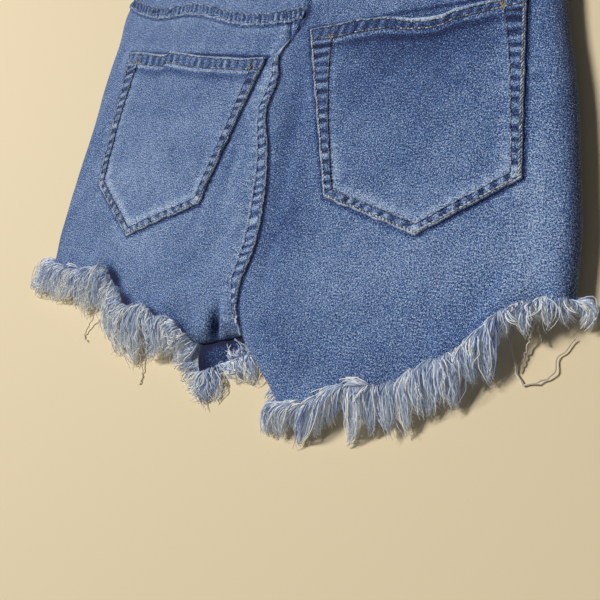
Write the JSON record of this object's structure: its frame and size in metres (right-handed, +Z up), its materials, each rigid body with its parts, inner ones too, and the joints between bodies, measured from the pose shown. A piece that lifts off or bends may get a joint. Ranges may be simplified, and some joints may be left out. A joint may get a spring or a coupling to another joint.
{
  "type": "cut-off denim shorts laid face-down",
  "caption": "High-waisted cut-off denim shorts with a frayed hem, yoke and patch pockets, lying flat with the back up.",
  "frame": {"origin": "middle of the garment's footprint, on the surface it lies on", "axes": "+X to the right across the back as it is seen, +Y to the waist, +Z up out of the back"},
  "size_m": [0.4774, 0.444, 0.0287],
  "materials": {
    "denim": "mid-wash blue cotton twill with stretch, matt, salt-and-pepper",
    "seam": "felled seams, puckered, worn pale on their ridges",
    "fringe": "frayed pale blue and white cotton yarn",
    "thread": "faded gold-olive topstitching thread",
    "zip_tape": "woven tape",
    "button": "worn antique brass"
  },
  "bodies": {
    "root": {"back_left": "denim", "back_right": "denim", "yoke_left": "denim", "yoke_right": "denim", "pocket_left": "denim", "pocket_right": "denim", "front_left": "denim", "front_right": "denim", "front_left_turned": "denim", "waistband": "denim", "belt_loop_1": "denim", "belt_loop_2": "denim", "belt_loop_3": "denim", "belt_loop_4": "denim", "belt_loop_5": "denim", "fly_shield": "denim", "seam_centre_back": "seam", "seam_yoke_left": "seam", "seam_yoke_right": "seam", "fringe_back_left": "fringe", "fringe_back_right": "fringe", "fringe_front_left": "fringe", "fringe_front_right": "fringe", "button": "button", "zip": "zip_tape"}
  },
  "joints": []
}
